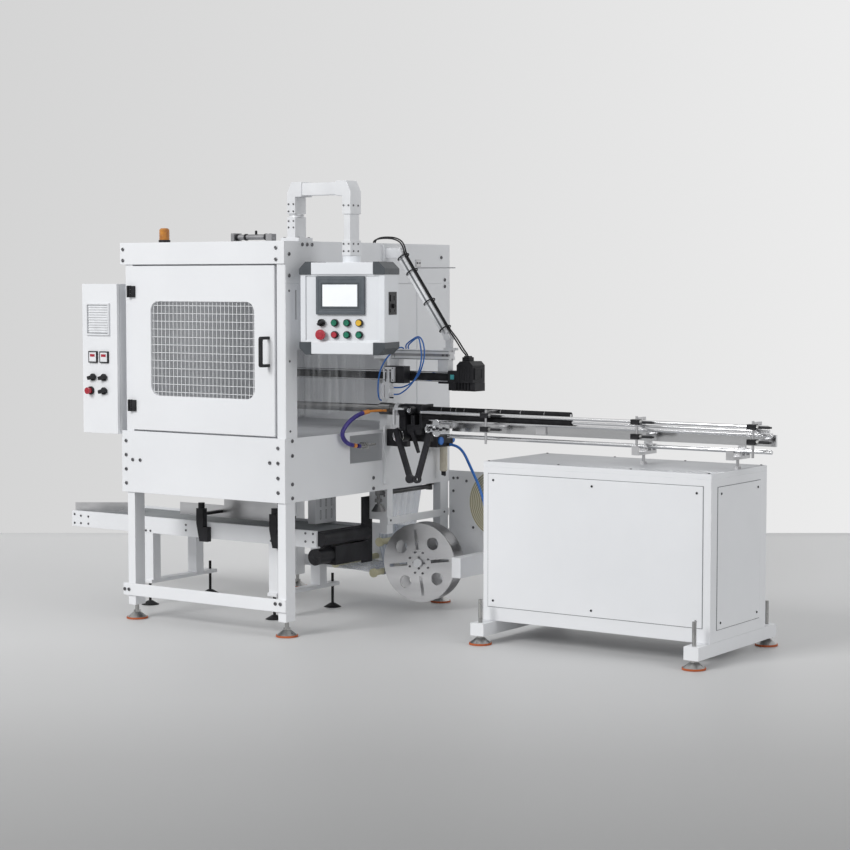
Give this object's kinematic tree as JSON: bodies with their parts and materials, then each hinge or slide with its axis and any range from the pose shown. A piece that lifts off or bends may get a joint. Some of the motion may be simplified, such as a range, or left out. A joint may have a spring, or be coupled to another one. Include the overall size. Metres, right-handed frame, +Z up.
{
  "type": "cup packing machine",
  "caption": "Bagging housing with a mesh door, operator panel on an arm, cup guide rods on a cabinet, gripper axis, film reel and discharge table.",
  "frame": {"origin": "centre of the sole of the housing's front left levelling foot", "axes": "+X along the door face towards the guide rods, +Y into the machine, +Z up"},
  "size_m": [3.247, 1.2149, 1.786],
  "materials": {
    "white_paint": "satin powder coat, off white",
    "grey_paint": "satin powder coat, mid grey",
    "nickel": "nickel plated",
    "orange_rubber": "moulded rubber",
    "black_rubber": "matt",
    "black_plastic": "moulded, fine texture",
    "wire_mesh": "welded wire, painted white",
    "amber_lens": "tinted lens",
    "aluminium": "anodised, drawn",
    "steel": "brushed",
    "bright_steel": "polished",
    "panel_white": "fine textured paint",
    "slate_plastic": "cast corner, dark slate",
    "screen": "bezel with a pale display",
    "buttons": "coloured push buttons",
    "black_metal": "black anodised",
    "foam": "closed cell foam tube",
    "dark_steel": "oiled dark steel",
    "cream_roller": "cream nylon",
    "film": "wound clear film",
    "belt": "grey conveyor belt",
    "film_sheet": "clear film",
    "blue_hose": "blue air hose"
  },
  "bodies": {
    "frame": {"corner_posts": "white_paint", "top_boards": "white_paint", "lower_panels": "white_paint", "side_cover_strip": "white_paint", "upper_side_panel": "white_paint", "rear_side_plate": "white_paint", "plain_covers": "white_paint", "deck_plate": "grey_paint", "levelling_feet": "nickel", "sole_pads": "orange_rubber", "post_hinges": "black_plastic", "electrical_cabinet": "white_paint", "cabinet_controls": "black_plastic", "beacon_base": "black_plastic", "beacon_lens": "amber_lens", "top_cylinder": "aluminium", "arm_base": "aluminium", "side_column": "white_paint", "support_beam": "aluminium", "diagonal_strut": "white_paint", "linear_axis": "black_metal", "axis_motor": "black_metal", "guide_rods": "bright_steel", "foam_tubes": "foam", "rod_supports": "steel", "feed_tube": "dark_steel", "feed_head": "black_metal", "v_arms": "black_metal", "reel_carrier": "white_paint", "film_plate": "white_paint", "guide_rollers": "cream_roller", "film_web": "film_sheet", "filter_regulator": "black_plastic", "hold_down_foot": "dark_steel", "supply_hose": "blue_hose", "strut_cables": "black_rubber", "diverter_board": "steel", "table_rails": "white_paint", "table_belt": "belt", "table_legs": "white_paint", "table_feet": "black_rubber", "table_guides": "steel", "guide_clamps": "black_metal", "table_drive": "black_metal", "feed_cabinet": "white_paint", "feed_cabinet_top": "grey_paint", "cabinet_channels": "white_paint"},
    "door": {"door_panel": "white_paint", "door_mesh": "wire_mesh", "door_handle": "black_plastic", "door_hinges": "black_plastic"},
    "arm": {"swing_arm": "aluminium"},
    "panel": {"hmi_box": "panel_white", "hmi_corners": "slate_plastic", "hmi_screen": "screen", "hmi_buttons": "buttons"},
    "carriage": {"carriage": "black_metal", "gripper": "aluminium"},
    "reel": {"reel": "steel"},
    "film_roll": {"film_roll": "film"}
  },
  "joints": [
    {"name": "door_hinge", "type": "hinge", "parent": "frame", "child": "door", "pos_m": [0.018, -0.044, 1.12], "axis": [0, 0, -1], "range_deg": [0, 100]},
    {"name": "arm_swing", "type": "hinge", "parent": "frame", "child": "arm", "pos_m": [0.763, 0.112, 1.65625], "axis": [0, 0, 1], "range_deg": [-10, 10]},
    {"name": "panel_swivel", "type": "hinge", "parent": "arm", "child": "panel", "pos_m": [1.033, 0.112, 1.496], "axis": [0, 0, 1], "range_deg": [-90, 75]},
    {"name": "carriage_slide", "type": "slide", "parent": "frame", "child": "carriage", "axis": [1, 0, 0], "range_m": [-0.35, 0.16]},
    {"name": "reel_spin", "type": "hinge", "parent": "frame", "child": "reel", "pos_m": [0.856, 0.859, 0.206], "axis": [-0.1392, 0.9903, 0], "continuous": true},
    {"name": "film_roll_spin", "type": "hinge", "parent": "frame", "child": "film_roll", "pos_m": [1.138, 1.047, 0.458], "axis": [0, 1, 0], "continuous": true}
  ]
}
